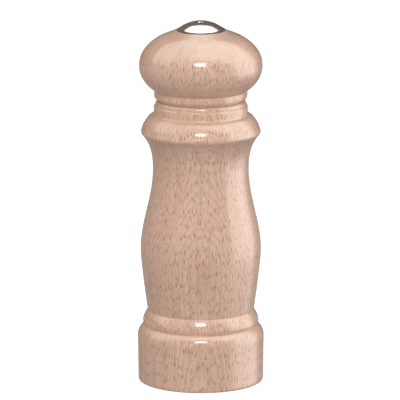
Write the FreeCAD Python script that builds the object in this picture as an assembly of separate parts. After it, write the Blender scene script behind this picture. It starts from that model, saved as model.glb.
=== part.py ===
"""Pepper mill: a turned beech body and head, with a steel grinding cartridge inside.

Millimetres, +Z up. The origin is the centre of the face that the mill stands on, and it turns about Z.
The body is the fixed part. The head turns the square shaft and its male burr through a drive plate.
The domed nut on the crown pulls the shaft up against a spring: tightening it closes the burrs, and
loosening it lets them open. With the nut off, the head lifts off the shaft, and peppercorns go into
the bore below it.
"""

import FreeCAD
import Part

import math
import os

# --- Driving dimensions ---

# Body, turned outside: (radius, height) where a point, radius alone elsewhere
PARTING_Z = 119.1  # where the head meets the body
FOOT_R = 26.15
FOOT_EDGE = 1.0  # rounding of the edge it stands on
BASE_TOP = (26.4, 19.3)  # the base band flares slightly up to here
BEAD_LOW = (23.7, 23.95)
BEAD_MAX = (24.09, 26.6)
BEAD_HIGH = (22.2, 30.33)
BELLY = (25.14, 56.8)
WAIST = (19.96, 91.2)
NECK_FLARE = (24.45, 104.9)  # foot of the shoulder's overhang
SHOULDER = (24.91, 106.0)
RING_R = 19.55
RING_TOP_Z = 116.4
NECK_R = 17.95  # bottom of the groove between head and body

# Body, bored inside
BORE_R = 13.5
BORE_EDGE = 0.4
RECESS_R = 19.0
LEDGE_Z = 12.0  # ledge that the cartridge's flange is screwed against

# Head
HEAD_GAP = 0.12  # running gap above the parting
COLLAR_R = 19.4
COLLAR_LOW_Z = 120.6
COLLAR_HIGH_Z = 123.1
BULB = (25.61, 134.7)
SEAT_R = 10.6
CROWN_Z = 148.5  # flat seat on top of the head
TENON_R = BORE_R - 0.08
TENON_Z = 105.1
HEAD_HOLE_R = 4.75

# Nut on the crown
NUT_TOP_Z = 152.4
SHELL_R = 10.1
SHELL_T = 0.55
SHELL_GAP = 0.35  # between the shell's lip and the wood: it shows as a dark line
VENT_R = 0.9
VENT_EDGE = 0.3  # how far the vent's edge is countersunk
VENT_Y = -2.7  # in front of the shell's middle
VENT_Z = 152.25
VENT_LEAN = 12.0  # degrees, square to the dome
CORE_R = 4.35
CORE_LOW_Z = 143.5
WASHER_R = 8.2
WASHER_T = 0.5

# Drive
SQUARE = 6.35
SHAFT_CORNER_R = 4.4  # the square's corners are turned down to this
SQUARE_TOP_Z = 141.0
THREAD_R = 2.5
THREAD_PITCH = 0.8
THREAD_DEPTH = 0.4
THREAD_TOP_Z = 150.6
PIVOT_R = 2.5  # round lower end
PIVOT_Z = 7.4
SQUARE_PLAY = 0.06  # each side of the square, where a square hole slides on it
PLATE_R = 11.5
PLATE_T = 1.2
PLATE_SCREW_X = 8.6
PLATE_SCREW_R = 1.25

# Grinding cartridge
SLEEVE_R = 13.3
SLEEVE_WALL = 1.5
SLEEVE_LIP = 0.5  # step that the ring burr rests on
SLEEVE_TOP_Z = 36.0
FLANGE_R = 18.6
FLANGE_T = 1.2
BURR_LOW_Z = 13.6
THROAT_Z = 18.6  # narrowest height between the burrs
BURR_HIGH_Z = 24.0
BURR_GAP = 0.25  # radial gap between the burrs at rest
MALE_LOW_R = 10.2
MALE_THROAT_R = 7.9
MALE_HIGH_R = 6.2
MOUTH_R = 10.9  # top of the ring burr's funnel
BURR_TEETH = 24
TOOTH_DEPTH = 0.6
FEED_FLUTES = 5
FLUTE_R = 1.4
BRIDGE_T = 1.5
BRIDGE_W = 7.0
BRIDGE_HUB_R = 6.7
BUSH_R = 5.4
BUSH_FLANGE_R = 6.4
BUSH_FLANGE_T = 0.8
SPRING_SEAT_R = 6.3
SEAT_T = 0.8
SEAT_GAP = 0.1
SPRING_WIRE = 0.8
SPRING_R = 5.4  # middle of the wire
SPRING_TURNS = 4.0
CLIP_WASHER_R = 5.6
CLIP_WASHER_T = 0.7
CLIP_T = 0.6
CLIP_R = 4.4
CLIP_GROOVE_R = 1.9

# Strap across the base
STRAP_T = 1.6
STRAP_W = 10.0
STRAP_HALF = 18.6
FOOT_BUSH_R = 3.6
FOOT_BUSH_FLANGE = 1.0
STRAP_SCREW_X = 16.2
STRAP_SCREW_R = 1.4
SCREW_PITCH = 1.2

RUNNING = 0.05  # radial clearance of the round running fits
SNUG = 0.03  # gap left round fixed pieces

# Levels that follow from the sizes above
FLANGE_LOW_Z = LEDGE_Z - FLANGE_T
STRAP_LOW_Z = FLANGE_LOW_Z - STRAP_T
BRIDGE_LOW_Z = SLEEVE_TOP_Z - BRIDGE_T
SEAT_HIGH_Z = BRIDGE_LOW_Z - BUSH_FLANGE_T - SEAT_GAP
SEAT_LOW_Z = SEAT_HIGH_Z - SEAT_T
CLIP_LOW_Z = BURR_LOW_Z - CLIP_WASHER_T - CLIP_T
PLATE_LOW_Z = TENON_Z - PLATE_T
SLEEVE_BORE_R = SLEEVE_R - SLEEVE_WALL

ORIGIN = FreeCAD.Vector(0, 0, 0)
UP = FreeCAD.Vector(0, 0, 1)


# --- Drawing and turning ---


class Outline:
    """A closed half section in the XZ plane, drawn from point to point as (radius, height)."""

    def __init__(self, r, z):
        self.start = self.end = FreeCAD.Vector(r, 0, z)
        self.edges = []

    def line(self, *points):
        for r, z in points:
            to = FreeCAD.Vector(r, 0, z)
            self.edges.append(Part.LineSegment(self.end, to).toShape())
            self.end = to
        return self

    def arc(self, through, to):
        middle = FreeCAD.Vector(through[0], 0, through[1])
        to = FreeCAD.Vector(to[0], 0, to[1])
        self.edges.append(Part.Arc(self.end, middle, to).toShape())
        self.end = to
        return self

    def curve(self, *points):
        """A smooth curve through the points."""
        through = [self.end] + [FreeCAD.Vector(r, 0, z) for r, z in points]
        spline = Part.BSplineCurve()
        spline.interpolate(Points=through)
        self.edges.append(spline.toShape())
        self.end = through[-1]
        return self

    def turned(self):
        """The solid that this section makes when it is turned about Z."""
        if self.end.distanceToPoint(self.start) > 1e-6:
            self.edges.append(Part.LineSegment(self.end, self.start).toShape())
        solid = Part.Face(Part.Wire(self.edges)).revolve(ORIGIN, UP, 360)
        return solid if solid.Volume > 0 else solid.reversed()


def rod(r, low, high, x=0.0):
    return Part.makeCylinder(r, high - low, FreeCAD.Vector(x, 0, low), UP)


def tube(r_in, r_out, low, high):
    return rod(r_out, low, high).cut(rod(r_in, low - 1, high + 1))


def block(length, width, low, high):
    """A box centred on Z."""
    corner = FreeCAD.Vector(-length / 2, -width / 2, low)
    return Part.makeBox(length, width, high - low, corner)


def square_hole(low, high):
    side = SQUARE + 2 * SQUARE_PLAY
    return block(side, side, low - 1, high + 1)


def both_sides(r, low, high, x):
    """Two rods, at x and at -x, for cutting a pair of screw holes."""
    return [rod(r, low - 1, high + 1, side * x) for side in (-1, 1)]


def around(shape, count):
    """The shape's copies, evenly spaced about Z."""
    copies = []
    for i in range(count):
        copy = shape.copy()
        copy.rotate(ORIGIN, UP, 360.0 * i / count)
        copies.append(copy)
    return copies


def thread(outline, r_tip, low, high, pitch, depth):
    """Carries an outline up a threaded length, ridge by ridge."""
    outline.line((r_tip - depth, low))
    for i in range(int((high - low) / pitch)):
        foot = low + i * pitch
        outline.line((r_tip, foot + pitch / 2), (r_tip - depth, foot + pitch))
    return outline


# --- Turned wood ---


def body():
    """The beech body: base band, bead, barrel, shoulder and ring, bored for pepper and cartridge."""
    section = Outline(RECESS_R, 0)
    section.line((FOOT_R - FOOT_EDGE, 0))
    section.arc((FOOT_R - 0.29 * FOOT_EDGE, 0.29 * FOOT_EDGE), (FOOT_R, FOOT_EDGE))
    section.line(BASE_TOP)
    section.arc((25.78, 21.84), BEAD_LOW)
    section.curve(BEAD_MAX, (23.7, 27.75), (22.8, 29.45), BEAD_HIGH)
    barrel = [(23.44, 39.0), (24.5, 48.0), BELLY, (22.9, 71.5), (20.9, 80.6), WAIST, (21.07, 98.9)]
    section.curve(*barrel, NECK_FLARE)
    section.arc(SHOULDER, (24.7, 107.0))
    slope = [(24.38, 108.0), (23.98, 109.0), (23.42, 110.0), (22.7, 111.1), (21.76, 112.24)]
    section.curve(*slope, (19.95, 113.25))
    section.arc((19.65, 113.55), (RING_R, 114.1))
    section.line((RING_R, RING_TOP_Z))
    section.arc((19.4, 117.0), (18.9, 117.4))
    section.arc((18.65, 118.5), (NECK_R, PARTING_Z))
    section.line((BORE_R + BORE_EDGE, PARTING_Z), (BORE_R, PARTING_Z - BORE_EDGE))
    section.line((BORE_R, LEDGE_Z), (RECESS_R, LEDGE_Z))
    holes = both_sides(STRAP_SCREW_R + SNUG, LEDGE_Z, LEDGE_Z + 8, STRAP_SCREW_X)
    return section.turned().cut(holes)


def head():
    """The beech head: bulb, collar and the tenon that turns in the body's bore."""
    low = PARTING_Z + HEAD_GAP
    section = Outline(HEAD_HOLE_R, TENON_Z)
    section.line((TENON_R - BORE_EDGE, TENON_Z), (TENON_R, TENON_Z + BORE_EDGE))
    section.line((TENON_R, low), (NECK_R, low))
    section.line((COLLAR_R - 0.1, COLLAR_LOW_Z))
    section.arc((COLLAR_R, (COLLAR_LOW_Z + COLLAR_HIGH_Z) / 2), (COLLAR_R - 0.1, COLLAR_HIGH_Z))
    section.arc((19.35, 123.35), (19.6, 123.5))
    bulb = [(21.23, 124.84), (23.4, 127.2), (25.02, 130.2), BULB, (24.6, 138.6), (21.57, 142.6)]
    section.curve(*bulb, (17.1, 145.8), (13.62, 147.3), (SEAT_R, CROWN_Z))
    section.line((HEAD_HOLE_R, CROWN_Z))
    holes = both_sides(PLATE_SCREW_R + SNUG, TENON_Z, TENON_Z + 7, PLATE_SCREW_X)
    return section.turned().cut(holes)


# --- Nut on the crown ---


def nut_shell():
    """Pressed chrome cap of the nut, with a countersunk vent a little in front of the middle."""
    lip = CROWN_Z + SHELL_GAP
    top = NUT_TOP_Z
    section = Outline(SHELL_R - SHELL_T, lip)
    section.line((SHELL_R - 0.12, lip), (SHELL_R - 0.05, lip + 0.08))
    flank = [(9.42, 149.2), (8.8, 149.62), (7.4, 150.5), (5.8, 151.3), (4.5, 151.74)]
    section.curve(*flank, (2.9, 152.2), (1.5, 152.37), (0, top))
    section.line((0, top - SHELL_T))
    section.curve((1.5, 151.82), (2.9, 151.62), (5.4, 150.8), (6.9, 150.1), (SHELL_R - SHELL_T, lip + 0.1))
    countersink = Part.makeCone(VENT_R, VENT_R + 1, 1, FreeCAD.Vector(0, 0, -VENT_EDGE), UP)
    vent = rod(VENT_R, -1.5, 1).fuse(countersink)
    vent.rotate(ORIGIN, FreeCAD.Vector(1, 0, 0), VENT_LEAN)
    vent.translate(FreeCAD.Vector(0, VENT_Y, VENT_Z))
    return section.turned().cut(vent)


def nut_core():
    """Turned brass core that the shell is crimped over, tapped for the shaft."""
    seat = CROWN_Z + WASHER_T
    bore = THREAD_R + RUNNING
    section = Outline(bore, CORE_LOW_Z)
    section.line((CORE_R, CORE_LOW_Z), (CORE_R, seat), (7.6, seat), (7.6, seat + 0.2), (5.5, 150.4))
    section.line((bore, 150.4))
    return section.turned()


def crown_washer():
    """Steel washer between the nut's core and the wood."""
    return tube(HEAD_HOLE_R + 0.1, WASHER_R, CROWN_Z, CROWN_Z + WASHER_T)


# --- Drive ---


def drive_shaft():
    """Square shaft, threaded at the top, with a round pivot and a clip groove at its foot."""
    square = block(SQUARE, SQUARE, BURR_LOW_Z, SQUARE_TOP_Z)
    square = square.common(rod(SHAFT_CORNER_R, BURR_LOW_Z, SQUARE_TOP_Z))
    groove_high = CLIP_LOW_Z + CLIP_T
    section = Outline(0, PIVOT_Z)
    section.line((PIVOT_R - 0.4, PIVOT_Z), (PIVOT_R, PIVOT_Z + 0.4), (PIVOT_R, CLIP_LOW_Z))
    section.line((CLIP_GROOVE_R, CLIP_LOW_Z), (CLIP_GROOVE_R, groove_high), (PIVOT_R, groove_high))
    section.line((PIVOT_R, BURR_LOW_Z + 1), (THREAD_R - THREAD_DEPTH, BURR_LOW_Z + 2))
    thread(section, THREAD_R, SQUARE_TOP_Z, THREAD_TOP_Z - 0.4, THREAD_PITCH, THREAD_DEPTH)
    section.line((THREAD_R - 0.8, THREAD_TOP_Z), (0, THREAD_TOP_Z))
    return square.fuse(section.turned()).removeSplitter()


def drive_plate():
    """Steel disc under the tenon, with the square hole that turns the shaft."""
    holes = both_sides(PLATE_SCREW_R + 0.15, PLATE_LOW_Z, TENON_Z, PLATE_SCREW_X)
    return rod(PLATE_R, PLATE_LOW_Z, TENON_Z).cut([square_hole(PLATE_LOW_Z, TENON_Z)] + holes)


def wood_screw(r, length, head_r, head_t, under_head, x):
    """Pan-head wood screw that points up, with a cross recess in its head."""
    low = under_head - head_t
    section = Outline(0, low)
    section.line((0.6 * head_r, low))
    section.arc((0.92 * head_r, low + 0.3 * head_t), (head_r, under_head))
    section.line((r, under_head), (r, under_head + STRAP_T))
    thread(section, r, under_head + STRAP_T, under_head + length - 2 * r, SCREW_PITCH, 0.3 * r)
    section.line((0, under_head + length))
    slot_depth = 0.5 * head_t
    slots = [
        block(1.2 * head_r, 0.3 * head_r, low, low + slot_depth),
        block(0.3 * head_r, 1.2 * head_r, low, low + slot_depth),
    ]
    screw = section.turned().cut(slots)
    screw.translate(FreeCAD.Vector(x, 0, 0))
    return screw


def drive_plate_screws():
    places = (-PLATE_SCREW_X, PLATE_SCREW_X)
    return [wood_screw(PLATE_SCREW_R, 7.2, 2.3, 1.3, PLATE_LOW_Z, x) for x in places]


# --- Grinding cartridge ---


def burr_sleeve():
    """Steel sleeve in the bore, flanged below for the strap, that holds the ring burr and the bridge."""
    lip_r = SLEEVE_BORE_R - SLEEVE_LIP
    section = Outline(lip_r, FLANGE_LOW_Z)
    section.line((FLANGE_R, FLANGE_LOW_Z), (FLANGE_R, LEDGE_Z))
    section.line((SLEEVE_R, LEDGE_Z), (SLEEVE_R, SLEEVE_TOP_Z))
    section.line((SLEEVE_BORE_R, SLEEVE_TOP_Z), (SLEEVE_BORE_R, BURR_LOW_Z), (lip_r, BURR_LOW_Z))
    holes = both_sides(STRAP_SCREW_R + 0.15, FLANGE_LOW_Z, LEDGE_Z, STRAP_SCREW_X)
    notch = block(4 * SLEEVE_R, BRIDGE_W + 2 * SNUG, BRIDGE_LOW_Z, SLEEVE_TOP_Z + 1)
    return section.turned().cut(holes + [notch])


def tooth_groove(low_r, throat_r, sign):
    """A V-shaped cutter along a burr's lower cone: it cuts outwards when sign is 1, inwards when it is -1."""
    lean = (low_r - throat_r) / (THROAT_Z - BURR_LOW_Z)
    wires = []
    for z in (BURR_LOW_Z - 1, THROAT_Z + 0.4):
        face_r = low_r - lean * (z - BURR_LOW_Z)
        half = 0.6 * math.pi * face_r / BURR_TEETH
        mouth_r = face_r - sign * TOOTH_DEPTH
        corners = [(mouth_r, -2 * half), (face_r + sign * TOOTH_DEPTH, 0), (mouth_r, 2 * half)]
        points = [FreeCAD.Vector(x, y, z) for x, y in corners]
        wires.append(Part.makePolygon(points + points[:1]))
    return Part.makeLoft(wires, True, True)


def ring_burr():
    """Fixed ring burr: a funnel above, and below the throat a toothed cone that widens downwards."""
    outside = SLEEVE_BORE_R - SNUG
    low_r = MALE_LOW_R + BURR_GAP
    throat_r = MALE_THROAT_R + BURR_GAP
    section = Outline(low_r, BURR_LOW_Z)
    section.line((outside, BURR_LOW_Z), (outside, BURR_HIGH_Z))
    section.line((MOUTH_R, BURR_HIGH_Z), (throat_r, THROAT_Z))
    return section.turned().cut(around(tooth_groove(low_r, throat_r, 1), BURR_TEETH))


def male_burr():
    """Turning burr: fluted above to draw the corns down, and toothed below."""
    section = Outline(0, BURR_LOW_Z)
    section.line((MALE_LOW_R, BURR_LOW_Z), (MALE_THROAT_R, THROAT_Z))
    section.line((MALE_HIGH_R, BURR_HIGH_Z), (0, BURR_HIGH_Z))
    flute = rod(FLUTE_R, -20, 20)
    flute.rotate(ORIGIN, FreeCAD.Vector(0, 1, 0), -15)
    flute.rotate(ORIGIN, FreeCAD.Vector(1, 0, 0), 30)
    flute.translate(FreeCAD.Vector(MALE_HIGH_R + 1.6, 0, 21.5))
    flute = flute.common(rod(20, THROAT_Z - 0.8, BURR_HIGH_Z + 1))
    cuts = around(tooth_groove(MALE_LOW_R, MALE_THROAT_R, -1), BURR_TEETH) + around(flute, FEED_FLUTES)
    return section.turned().cut(square_hole(BURR_LOW_Z, BURR_HIGH_Z)).cut(cuts)


def burr_washer():
    """Steel washer under the male burr, on the shaft's round end."""
    return tube(PIVOT_R + RUNNING, CLIP_WASHER_R, BURR_LOW_Z - CLIP_WASHER_T, BURR_LOW_Z)


def burr_clip():
    """Spring-steel E clip in the shaft's groove, which carries the burr."""
    high = CLIP_LOW_Z + CLIP_T
    mouth = Part.makeBox(CLIP_R + 1, 1.7 * CLIP_GROOVE_R, CLIP_T + 2)
    mouth.translate(FreeCAD.Vector(0, -0.85 * CLIP_GROOVE_R, CLIP_LOW_Z - 1))
    reliefs = around(rod(0.7, CLIP_LOW_Z - 1, high + 1, CLIP_GROOVE_R + 1.0), 3)[1:]
    return tube(CLIP_GROOVE_R + SNUG, CLIP_R, CLIP_LOW_Z, high).cut([mouth] + reliefs)


def bridge():
    """Steel strip across the sleeve's top, widened in the middle to carry the shaft's upper bush."""
    strip = block(2 * SLEEVE_R, BRIDGE_W, BRIDGE_LOW_Z, SLEEVE_TOP_Z)
    strip = strip.common(rod(SLEEVE_R, BRIDGE_LOW_Z, SLEEVE_TOP_Z))
    plate = strip.fuse(rod(BRIDGE_HUB_R, BRIDGE_LOW_Z, SLEEVE_TOP_Z)).removeSplitter()
    return plate.cut(rod(BUSH_R, BRIDGE_LOW_Z - 1, SLEEVE_TOP_Z + 1))


def upper_bush():
    """Flanged nylon bush in the bridge, which the shaft's corners turn in."""
    bore = SHAFT_CORNER_R + RUNNING
    low = BRIDGE_LOW_Z - BUSH_FLANGE_T
    high = SLEEVE_TOP_Z + 0.4
    section = Outline(bore, low)
    section.line((BUSH_FLANGE_R, low), (BUSH_FLANGE_R, BRIDGE_LOW_Z), (BUSH_R - SNUG, BRIDGE_LOW_Z))
    section.line((BUSH_R - SNUG, high), (bore, high))
    return section.turned()


def spring_seat():
    """Steel washer on the square shaft, which turns with the spring below the bush."""
    return rod(SPRING_SEAT_R, SEAT_LOW_Z, SEAT_HIGH_Z).cut(square_hole(SEAT_LOW_Z, SEAT_HIGH_Z))


def burr_spring():
    """Compression spring that pushes the male burr down and open."""
    low = BURR_HIGH_Z + SPRING_WIRE / 2 + SNUG
    rise = SEAT_LOW_Z - SPRING_WIRE / 2 - SNUG - low
    helix = Part.Wire(Part.makeHelix(rise / SPRING_TURNS, rise, SPRING_R))
    wire_end = Part.makeCircle(SPRING_WIRE / 2, FreeCAD.Vector(SPRING_R, 0, 0), FreeCAD.Vector(0, 1, 0))
    spring = helix.makePipeShell([Part.Wire(wire_end)], True, True)
    spring.translate(FreeCAD.Vector(0, 0, low))
    return spring


# --- Strap across the base ---


def strap():
    """Steel strap across the recess, which holds the cartridge in and guides the shaft's foot."""
    bar = block(2 * STRAP_HALF, STRAP_W, STRAP_LOW_Z, FLANGE_LOW_Z)
    bar = bar.common(rod(STRAP_HALF, STRAP_LOW_Z, FLANGE_LOW_Z))
    holes = both_sides(STRAP_SCREW_R + 0.15, STRAP_LOW_Z, FLANGE_LOW_Z, STRAP_SCREW_X)
    return bar.cut(holes + [rod(FOOT_BUSH_R, STRAP_LOW_Z - 1, FLANGE_LOW_Z + 1)])


def foot_bush():
    """Flanged nylon bush in the strap, which the shaft's foot turns in."""
    bore = PIVOT_R + RUNNING
    low = STRAP_LOW_Z - 0.8
    section = Outline(bore, low)
    section.line((FOOT_BUSH_R + FOOT_BUSH_FLANGE, low), (FOOT_BUSH_R + FOOT_BUSH_FLANGE, STRAP_LOW_Z))
    section.line((FOOT_BUSH_R - SNUG, STRAP_LOW_Z), (FOOT_BUSH_R - SNUG, FLANGE_LOW_Z))
    section.line((bore, FLANGE_LOW_Z))
    return section.turned()


def strap_screws():
    places = (-STRAP_SCREW_X, STRAP_SCREW_X)
    return [wood_screw(STRAP_SCREW_R, 10.0, 2.5, 1.7, STRAP_LOW_Z, x) for x in places]


# --- Writing the parts ---

NODES = [
    body, burr_sleeve, ring_burr, bridge, upper_bush, strap, foot_bush, strap_screws,
    spring_seat, burr_spring, drive_shaft, male_burr, burr_washer, burr_clip,
    head, drive_plate, drive_plate_screws, crown_washer, nut_core, nut_shell,
]


def main():
    os.makedirs("parts", exist_ok=True)
    for node in NODES:
        made = node()
        shape = Part.makeCompound(made) if isinstance(made, list) else made
        print(f"{node.__name__}: {len(shape.Solids)} solids, {shape.Volume:.1f} mm3, {shape.isValid()}")
        shape.exportStep(f"parts/{node.__name__}.step")


main()
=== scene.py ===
"""Pepper mill: the looks. Lacquered beech, a chrome nut, and a plain steel mechanism inside.

Metres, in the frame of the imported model: +Z up, origin at the centre of the base.
"""

import math

import bpy
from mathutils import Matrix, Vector


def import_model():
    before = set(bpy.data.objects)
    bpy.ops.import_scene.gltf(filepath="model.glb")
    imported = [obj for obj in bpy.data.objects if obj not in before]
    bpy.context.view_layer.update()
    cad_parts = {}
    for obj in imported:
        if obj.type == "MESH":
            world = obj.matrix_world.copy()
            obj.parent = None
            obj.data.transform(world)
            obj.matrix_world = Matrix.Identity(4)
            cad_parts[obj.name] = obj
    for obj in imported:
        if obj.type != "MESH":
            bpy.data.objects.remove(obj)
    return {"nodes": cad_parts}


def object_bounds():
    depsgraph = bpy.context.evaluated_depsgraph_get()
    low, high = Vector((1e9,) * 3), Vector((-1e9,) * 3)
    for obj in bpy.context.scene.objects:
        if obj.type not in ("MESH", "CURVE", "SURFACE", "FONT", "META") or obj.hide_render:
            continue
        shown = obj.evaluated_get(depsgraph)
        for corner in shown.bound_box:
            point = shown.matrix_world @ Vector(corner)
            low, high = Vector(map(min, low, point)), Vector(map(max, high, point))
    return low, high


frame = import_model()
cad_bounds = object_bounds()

MM = 0.001

# Camera
VIEW_ELEVATION = math.radians(12.06)
VIEW_DISTANCE = 2.0
LENS_MM = 431.6
SENSOR_MM = 36.0
AIM_OFFSET = (-0.33 * MM, 0.0, 0.42 * MM)  # the mill stands slightly off the frame's centre

# Light: each softbox is (azimuth, elevation, distance, width, height, watts, colour)
SOFTBOXES = {
    "key": (0.0, 39.5, 1.1, 0.36, 0.26, 3.6, (1.0, 0.99, 0.97)),
    "right_fill": (24.0, 6.0, 1.3, 1.0, 1.1, 5.8, (1.0, 0.985, 0.965)),
    "right_low": (100.0, 8.0, 1.2, 0.9, 0.9, 3.2, (1.0, 0.99, 0.98)),
    "left_fill": (-80.0, 12.0, 1.2, 0.9, 0.9, 2.9, (1.0, 0.95, 0.91)),
    "left_back": (-95.0, 56.0, 1.2, 0.7, 0.7, 1.2, (1.0, 0.98, 0.96)),
}
MIRRORED = ("key",)  # the one softbox that polish mirrors; the broad ones only light it

# The studio round the mill, as light that falls on it
WALLS = 0.385  # the glow all round
BELOW = 0.30  # and from below
CANOPY = 0.47  # a broad white canopy overhead
CANOPY_SPAN = (-0.60, 0.88)  # its front and back edges, as run over rise from the mill
CANOPY_HALF_WIDTH = 3.0
CANOPY_COLOUR = (0.92, 1.0, 1.02, 1.0)
WHITE = (1.0, 1.0, 1.0, 1.0)

# What polish mirrors instead of it. A real studio would have one set of values for both.
BACK_WALL = 0.17  # the wall behind the mill
BACK_COLOUR = (1.14, 0.96, 0.88, 1.0)
BACK_FADE = (-0.1, 0.7)  # how far back it starts and is complete, as the y of a direction
DARK_CORNER = (163.0, 4.0)  # the darkest part of the back wall, as (azimuth, elevation)
DARK_CORNER_SHARE = 0.4  # of the back wall's brightness
GROUND = 0.34  # below the horizon
CANOPY_MIRRORED = 1.35
SCREEN = 2.7  # a bright screen that runs from overhead down to the right
SCREEN_LEFT = (-0.45, 0.05)  # its soft edges, as the x, z and y of a direction
SCREEN_FOOT = (-0.55, -0.15)
SCREEN_BACK = (0.75, 0.30)
SCREEN_FRONT = (-0.60, -0.30)

# Floor
FLOOR_HALF = 6.0
FLOOR_GREY = (0.90, 0.90, 0.90, 1.0)
FLOOR_GLOW = 0.55

# Beech
PITH = (2 * MM, -60 * MM)  # the tree's centre, in front of the mill, as (x, y)
RING_WIDTH = 1.1 * MM
RING_LEAN = 0.105  # how far the rings lean over the blank's length
RING_WANDER = 1.4  # in rings, over the whole blank
RING_RAGGED = 0.25  # in rings, from one fibre to the next
GRAIN_RADIUS = 22 * MM  # the size of the fibres and flecks is true at this radius
FLECK_SPACING = (0.85 * MM, 5.4 * MM)  # across and along the grain
FLECK_DEPTH = 2.5 * MM  # how far a ray runs inwards before it breaks off
FLECK_SCATTER = 0.72  # 0 sets them in rows, and 1 strews them about
SMALL_FLECKS = 0.72  # the spacing of the smaller flecks, beside that of the large ones
PALE_WOOD = (0.815, 0.550, 0.412, 1.0)
WARM_WOOD = (0.770, 0.500, 0.366, 1.0)
STREAK_WOOD = (0.610, 0.350, 0.240, 1.0)
LATE_WOOD = (0.580, 0.330, 0.225, 1.0)
FIBRE_WOOD = (0.530, 0.315, 0.220, 1.0)
PORE_WOOD = (0.430, 0.250, 0.175, 1.0)
FLECK_WOOD = (0.350, 0.125, 0.065, 1.0)


# --- Building node trees ---


class Tree:
    """The nodes of a material or a world, built from left to right."""

    def __init__(self, owner):
        owner.use_nodes = True
        self.nodes = owner.node_tree.nodes
        self.links = owner.node_tree.links

    def node(self, kind, **settings):
        node = self.nodes.new(kind)
        for key, value in settings.items():
            setattr(node, key, value)
        return node

    def join(self, source, socket):
        if isinstance(source, (int, float, tuple)):
            socket.default_value = source
        else:
            self.links.new(source, socket)

    def math(self, operation, a, b=0.0):
        node = self.node("ShaderNodeMath", operation=operation)
        self.join(a, node.inputs[0])
        self.join(b, node.inputs[1])
        return node.outputs[0]

    def vector(self, operation, a, b):
        node = self.node("ShaderNodeVectorMath", operation=operation)
        self.join(a, node.inputs[0])
        self.join(b, node.inputs[1])
        return node.outputs["Value"] if operation in ("LENGTH", "DOT_PRODUCT") else node.outputs[0]

    def scaled(self, place, size):
        """The place in units of a size along each axis."""
        return self.vector("MULTIPLY", place, tuple(1.0 / length for length in size))

    def noise(self, place, size, detail=2.0, roughness=0.5):
        node = self.node("ShaderNodeTexNoise")
        self.join(self.scaled(place, size), node.inputs["Vector"])
        node.inputs["Scale"].default_value = 1.0
        node.inputs["Detail"].default_value = detail
        node.inputs["Roughness"].default_value = roughness
        return node.outputs["Fac"]

    def ramp(self, value, low, high, out_low=0.0, out_high=1.0, smooth=True):
        node = self.node("ShaderNodeMapRange", interpolation_type="SMOOTHSTEP" if smooth else "LINEAR")
        self.join(value, node.inputs["Value"])
        ends = {"From Min": low, "From Max": high, "To Min": out_low, "To Max": out_high}
        for socket, number in ends.items():
            self.join(number, node.inputs[socket])
        return node.outputs["Result"]

    def mix(self, factor, a, b):
        """A colour between a and b."""
        node = self.node("ShaderNodeMix", data_type="RGBA")
        self.join(factor, node.inputs[0])
        self.join(a, node.inputs[6])
        self.join(b, node.inputs[7])
        return node.outputs[2]

    def blend(self, factor, a, b):
        """A number between a and b."""
        node = self.node("ShaderNodeMix", data_type="FLOAT")
        self.join(factor, node.inputs[0])
        self.join(a, node.inputs[2])
        self.join(b, node.inputs[3])
        return node.outputs[0]

    def bump(self, height, distance, strength=1.0):
        node = self.node("ShaderNodeBump")
        node.inputs["Distance"].default_value = distance
        node.inputs["Strength"].default_value = strength
        self.join(height, node.inputs["Height"])
        return node.outputs["Normal"]


class Surface(Tree):
    """A material and its shader."""

    def __init__(self, name):
        self.material = bpy.data.materials.new(name)
        super().__init__(self.material)
        self.shader = self.nodes["Principled BSDF"]

    def set(self, **values):
        """Uniform values, set on the shader's own sockets."""
        for key, value in values.items():
            self.shader.inputs[key.replace("_", " ")].default_value = value

    def place(self):
        return self.node("ShaderNodeTexCoord").outputs["Object"]


# --- Beech ---


def grain_place(tree, place):
    """A point as (round the turned surface, in from it, along the grain), for fibres and flecks."""
    parts = tree.node("ShaderNodeSeparateXYZ")
    tree.join(place, parts.inputs[0])
    x, y, z = parts.outputs
    angle = tree.math("ARCTAN2", x, tree.math("MULTIPLY", y, -1.0))
    radius = tree.math("SQRT", tree.math("ADD", tree.math("MULTIPLY", x, x), tree.math("MULTIPLY", y, y)))
    joined = tree.node("ShaderNodeCombineXYZ")
    for value, socket in zip((tree.math("MULTIPLY", angle, GRAIN_RADIUS), radius, z), joined.inputs):
        tree.join(value, socket)
    return joined.outputs[0]


def ring_count(tree, place):
    """How many rings lie between the pith and a point, with the trunk's lean and slow wander."""
    from_pith = tree.vector("SUBTRACT", place, (*PITH, 0.0))
    flat = tree.vector("LENGTH", tree.vector("MULTIPLY", from_pith, (1.0, 1.0, 0.0)), (0.0, 0.0, 0.0))
    rise = tree.vector("DOT_PRODUCT", place, (0.0, 0.0, RING_LEAN))
    rings = tree.math("DIVIDE", tree.math("ADD", flat, rise), RING_WIDTH)
    wander = tree.noise(place, (35 * MM, 35 * MM, 90 * MM), detail=1.0)
    ragged = tree.noise(place, (1.4 * MM, 1.4 * MM, 5 * MM), detail=1.0)
    rings = tree.math("ADD", rings, tree.math("MULTIPLY", wander, RING_WANDER))
    return tree.math("ADD", rings, tree.math("MULTIPLY", ragged, RING_RAGGED))


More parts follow.
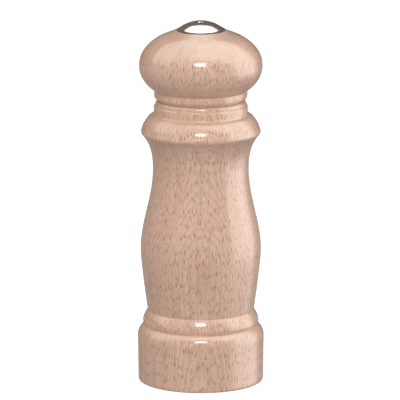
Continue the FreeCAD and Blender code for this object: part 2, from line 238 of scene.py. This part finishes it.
def flecks(tree, grain, spacing, size, seed):
    """Ray flecks: dark spindles along the grain, each of its own size, that break off inwards. 0 to 1."""
    across, along = spacing
    parts = tree.node("ShaderNodeSeparateXYZ")
    tree.join(grain, parts.inputs[0])
    flat = tree.node("ShaderNodeCombineXYZ")
    tree.join(tree.math("ADD", tree.math("DIVIDE", parts.outputs[0], across), 31.7 * seed), flat.inputs[0])
    tree.join(tree.math("ADD", tree.math("DIVIDE", parts.outputs[2], along), 57.3 * seed), flat.inputs[1])
    cells = tree.node("ShaderNodeTexVoronoi", feature="F1", voronoi_dimensions="2D")
    tree.join(flat.outputs[0], cells.inputs["Vector"])
    cells.inputs["Scale"].default_value = 1.0
    cells.inputs["Randomness"].default_value = FLECK_SCATTER
    own = tree.node("ShaderNodeSeparateColor")
    tree.join(cells.outputs["Color"], own.inputs[0])
    reach = tree.ramp(own.outputs[0], 0.0, 1.0, 0.55 * size, size, smooth=False)
    spindle = tree.ramp(tree.math("DIVIDE", cells.outputs["Distance"], reach), 1.0, 0.5)
    depth = tree.math("DIVIDE", parts.outputs[1], FLECK_DEPTH)
    breaks = tree.node("ShaderNodeTexNoise", noise_dimensions="1D")
    tree.join(tree.math("ADD", depth, tree.math("MULTIPLY", own.outputs[1], 50.0)), breaks.inputs["W"])
    breaks.inputs["Scale"].default_value = 1.0
    breaks.inputs["Detail"].default_value = 0.0
    return tree.math("MULTIPLY", spindle, tree.ramp(breaks.outputs["Fac"], 0.38, 0.46))


def side_grain(tree):
    """1 where the surface runs along the grain, and 0 on end grain, where flecks are too fine to see."""
    normal = tree.node("ShaderNodeTexCoord").outputs["Normal"]
    parts = tree.node("ShaderNodeSeparateXYZ")
    tree.join(normal, parts.inputs[0])
    return tree.ramp(tree.math("ABSOLUTE", parts.outputs[2]), 0.72, 0.42)


def beech(name, shift):
    """Clear-lacquered beech. shift moves the pattern, so that two pieces aren't cut from the same place."""
    tree = Surface(name)
    place = tree.vector("ADD", tree.place(), shift)
    grain = grain_place(tree, place)

    saw = tree.math("FRACT", ring_count(tree, place))
    late = tree.math("MULTIPLY", tree.ramp(saw, 0.25, 0.85), tree.ramp(saw, 1.0, 0.88))
    cloud = tree.noise(place, (11 * MM, 11 * MM, 34 * MM), detail=2.0)
    streak = tree.noise(grain, (2.2 * MM, 6 * MM, 60 * MM), detail=2.0)
    fibre = tree.noise(grain, (0.42 * MM, 0.9 * MM, 6.5 * MM), detail=2.0, roughness=0.6)
    pores = tree.noise(grain, (0.20 * MM, 0.5 * MM, 2.0 * MM), detail=2.0, roughness=0.65)

    colour = tree.mix(tree.ramp(cloud, 0.36, 0.66), PALE_WOOD, WARM_WOOD)
    colour = tree.mix(tree.ramp(streak, 0.45, 0.72, 0.0, 0.40), colour, STREAK_WOOD)
    colour = tree.mix(tree.math("MULTIPLY", late, 0.36), colour, LATE_WOOD)
    colour = tree.mix(tree.ramp(fibre, 0.42, 0.74, 0.0, 0.46), colour, FIBRE_WOOD)
    colour = tree.mix(tree.ramp(pores, 0.50, 0.80, 0.0, 0.25), colour, PORE_WOOD)

    large = flecks(tree, grain, FLECK_SPACING, 0.28, 1)
    small = flecks(tree, grain, tuple(SMALL_FLECKS * gap for gap in FLECK_SPACING), 0.22, 2)
    fleck = tree.math("MAXIMUM", large, tree.math("MULTIPLY", small, 0.7))
    fleck = tree.math("MULTIPLY", fleck, tree.ramp(side_grain(tree), 0.0, 1.0, 0.12, 1.0))
    colour = tree.mix(tree.math("MULTIPLY", fleck, 0.80), colour, FLECK_WOOD)

    tree.join(colour, tree.shader.inputs["Base Color"])
    tree.set(Roughness=0.45, Coat_Weight=1.0, Coat_Roughness=0.10, Coat_IOR=1.6)
    height = tree.math("SUBTRACT", fibre, tree.math("MULTIPLY", fleck, 0.5))
    tree.join(tree.bump(height, 0.02 * MM, 0.5), tree.shader.inputs["Normal"])
    ripple = tree.noise(place, (6 * MM, 6 * MM, 9 * MM), detail=1.0)
    tree.join(tree.bump(ripple, 0.05 * MM, 0.1), tree.shader.inputs["Coat Normal"])
    return tree.material


# --- Metals and plastic ---


def metal(name, colour, roughness, lines, scratch=0.25):
    """Bare or plated metal. lines is the size of its tool marks along x, y and z."""
    tree = Surface(name)
    place = tree.place()
    marks = tree.noise(place, lines, detail=3.0, roughness=0.6)
    stain = tree.noise(place, (3 * MM, 3 * MM, 3 * MM), detail=3.0)
    dark = (*(0.72 * channel for channel in colour), 1.0)
    shade = tree.mix(tree.ramp(stain, 0.40, 0.72, 0.0, 0.36), (*colour, 1.0), dark)
    tree.join(shade, tree.shader.inputs["Base Color"])
    tree.set(Metallic=1.0)
    rough = tree.ramp(marks, 0.3, 0.7, roughness * (1 - scratch), roughness * (1 + scratch))
    tree.join(rough, tree.shader.inputs["Roughness"])
    tree.join(tree.bump(marks, 0.01 * MM, scratch), tree.shader.inputs["Normal"])
    return tree.material


def chrome(name):
    """Polished chrome plate with the faint orange peel of a pressed cap."""
    tree = Surface(name)
    place = tree.place()
    peel = tree.noise(place, (1.6 * MM, 1.6 * MM, 1.6 * MM), detail=1.0)
    haze = tree.noise(place, (5 * MM, 5 * MM, 5 * MM), detail=3.0)
    tint = tree.mix(haze, (0.80, 0.79, 0.77, 1.0), (0.72, 0.71, 0.69, 1.0))
    tree.join(tint, tree.shader.inputs["Base Color"])
    tree.set(Metallic=1.0)
    tree.join(tree.ramp(haze, 0.3, 0.7, 0.035, 0.075), tree.shader.inputs["Roughness"])
    tree.join(tree.bump(peel, 0.01 * MM, 0.3), tree.shader.inputs["Normal"])
    return tree.material


def nylon(name):
    """Moulded natural nylon."""
    tree = Surface(name)
    place = tree.place()
    grain = tree.noise(place, (0.5 * MM, 0.5 * MM, 0.5 * MM), detail=3.0)
    tint = tree.mix(grain, (0.74, 0.71, 0.62, 1.0), (0.64, 0.61, 0.53, 1.0))
    tree.join(tint, tree.shader.inputs["Base Color"])
    tree.set(Roughness=0.45, Subsurface_Weight=0.1)
    tree.join(tree.bump(grain, 0.02 * MM, 0.3), tree.shader.inputs["Normal"])
    return tree.material


def dress():
    """Gives every node its material."""
    fine = (0.12 * MM, 0.12 * MM, 0.12 * MM)
    along_x = (3.0 * MM, 0.10 * MM, 0.10 * MM)
    along_z = (0.10 * MM, 0.10 * MM, 4.0 * MM)
    turned = (4.0 * MM, 4.0 * MM, 0.08 * MM)
    steel = metal("zinc_plated_steel", (0.60, 0.60, 0.59), 0.30, fine)
    strip = metal("steel_strip", (0.58, 0.58, 0.58), 0.28, along_x)
    spring = metal("spring_steel", (0.36, 0.36, 0.37), 0.26, fine)
    burr = metal("burr_steel", (0.27, 0.27, 0.28), 0.40, fine, scratch=0.35)
    looks = {
        "body": beech("beech_body", (0.0, 0.0, 0.0)),
        "head": beech("beech_head", (1.5 * MM, 0.8 * MM, 31 * MM)),
        "nut_shell": chrome("chrome"),
        "nut_core": metal("turned_brass", (0.72, 0.52, 0.24), 0.25, turned),
        "crown_washer": steel,
        "drive_plate": steel,
        "drive_plate_screws": steel,
        "strap_screws": steel,
        "burr_sleeve": metal("sleeve_steel", (0.55, 0.55, 0.55), 0.32, turned),
        "strap": strip,
        "bridge": strip,
        "spring_seat": steel,
        "burr_washer": steel,
        "burr_spring": spring,
        "burr_clip": spring,
        "ring_burr": burr,
        "male_burr": burr,
        "drive_shaft": metal("drawn_aluminium", (0.78, 0.78, 0.79), 0.28, along_z),
        "upper_bush": nylon("nylon"),
        "foot_bush": nylon("nylon_foot"),
    }
    for node, material in looks.items():
        for slot in frame["nodes"][node].material_slots:
            slot.material = material


# --- Stage, light and camera ---


def direction(azimuth, elevation):
    """The unit vector from the mill towards a place seen at these angles, with azimuth 0 in front."""
    a = math.radians(azimuth)
    e = math.radians(elevation)
    return Vector((math.sin(a) * math.cos(e), -math.cos(a) * math.cos(e), math.sin(e)))


def aim(obj, target):
    obj.rotation_euler = (target - obj.location).to_track_quat("-Z", "Y").to_euler()


def softbox(centre, name, azimuth, elevation, distance, width, height, watts, colour):
    light = bpy.data.lights.new(name, "AREA")
    light.shape = "RECTANGLE"
    light.size = width
    light.size_y = height
    light.energy = watts
    light.color = colour
    obj = bpy.data.objects.new(name, light)
    bpy.context.scene.collection.objects.link(obj)
    obj.location = centre + distance * direction(azimuth, elevation)
    aim(obj, centre)
    obj.visible_glossy = name in MIRRORED


def floor():
    """A plain pale floor, level with the mill's foot. It glows a little, and lights nothing."""
    mesh = bpy.data.meshes.new("floor")
    half = FLOOR_HALF
    corners = [(-half, -half, 0), (half, -half, 0), (half, half, 0), (-half, half, 0)]
    mesh.from_pydata(corners, [], [(0, 1, 2, 3)])
    obj = bpy.data.objects.new("floor", mesh)
    bpy.context.scene.collection.objects.link(obj)
    tree = Surface("pale_floor")
    tree.set(Base_Color=FLOOR_GREY, Roughness=1.0, Specular_IOR_Level=0.0)
    tree.set(Emission_Color=WHITE, Emission_Strength=FLOOR_GLOW)
    mesh.materials.append(tree.material)
    obj.visible_diffuse = False
    obj.visible_glossy = False


def under_canopy(tree, x, y, z):
    """1 on the canopy: a flat oblong over the mill, seen along a direction."""
    rise = tree.math("MAXIMUM", z, 0.01)
    across = tree.math("ABSOLUTE", tree.math("DIVIDE", x, rise))
    back = tree.math("DIVIDE", y, rise)
    front_edge, back_edge = CANOPY_SPAN
    in_front = tree.ramp(back, front_edge - 0.15, front_edge + 0.05)
    behind = tree.ramp(back, back_edge + 0.05, back_edge - 0.05)
    beside = tree.ramp(across, CANOPY_HALF_WIDTH + 0.1, CANOPY_HALF_WIDTH - 0.1)
    return tree.math("MULTIPLY", tree.math("MULTIPLY", in_front, behind), beside)


def on_screen(tree, x, y, z):
    """1 on the bright screen that runs from overhead down to the right, seen along a direction."""
    sides = tree.math("MULTIPLY", tree.ramp(x, *SCREEN_LEFT), tree.ramp(z, *SCREEN_FOOT))
    middle = tree.math("MULTIPLY", tree.ramp(y, *SCREEN_BACK), tree.ramp(y, *SCREEN_FRONT))
    return tree.math("MULTIPLY", sides, middle)


def world():
    """A studio that looks white. What polish mirrors has more contrast than the light that falls."""
    sky = bpy.data.worlds.new("studio")
    tree = Tree(sky)
    towards = tree.node("ShaderNodeTexCoord").outputs["Generated"]
    parts = tree.node("ShaderNodeSeparateXYZ")
    tree.join(towards, parts.inputs[0])
    x, y, z = parts.outputs
    ray = tree.node("ShaderNodeLightPath").outputs
    canopy = under_canopy(tree, x, y, z)
    behind = tree.ramp(y, *BACK_FADE)

    falling = tree.blend(tree.ramp(z, 0.0, -0.6), WALLS, BELOW)
    falling = tree.blend(canopy, falling, CANOPY)

    corner = tree.vector("DOT_PRODUCT", towards, tuple(direction(*DARK_CORNER)))
    mirrored = tree.blend(behind, WALLS, BACK_WALL)
    mirrored = tree.blend(tree.ramp(corner, 0.955, 0.985), mirrored, DARK_CORNER_SHARE * BACK_WALL)
    mirrored = tree.blend(tree.ramp(z, 0.02, -0.12), mirrored, GROUND)
    mirrored = tree.blend(canopy, mirrored, CANOPY_MIRRORED)
    mirrored = tree.blend(on_screen(tree, x, y, z), mirrored, SCREEN)

    strength = tree.blend(ray["Is Glossy Ray"], falling, mirrored)
    strength = tree.blend(ray["Is Camera Ray"], strength, 1.0)

    tint = tree.mix(tree.math("MULTIPLY", behind, tree.math("SUBTRACT", 1.0, canopy)), WHITE, BACK_COLOUR)
    colour = tree.mix(ray["Is Glossy Ray"], WHITE, tint)
    colour = tree.mix(ray["Is Diffuse Ray"], colour, tree.mix(canopy, WHITE, CANOPY_COLOUR))

    tree.join(strength, tree.nodes["Background"].inputs["Strength"])
    tree.join(colour, tree.nodes["Background"].inputs["Color"])
    bpy.context.scene.world = sky


def camera(centre):
    lens = bpy.data.cameras.new("camera")
    lens.lens = LENS_MM
    lens.sensor_width = SENSOR_MM
    obj = bpy.data.objects.new("camera", lens)
    bpy.context.scene.collection.objects.link(obj)
    target = centre + Vector(AIM_OFFSET)
    obj.location = target + VIEW_DISTANCE * direction(0.0, math.degrees(VIEW_ELEVATION))
    aim(obj, target)
    bpy.context.scene.camera = obj


low, high = (Vector(corner) for corner in cad_bounds)
middle = Vector((0.0, 0.0, (low.z + high.z) / 2))
camera(middle)
dress()
floor()
world()
for name, settings in SOFTBOXES.items():
    softbox(middle, name, *settings)
bpy.context.scene.view_settings.view_transform = "Standard"
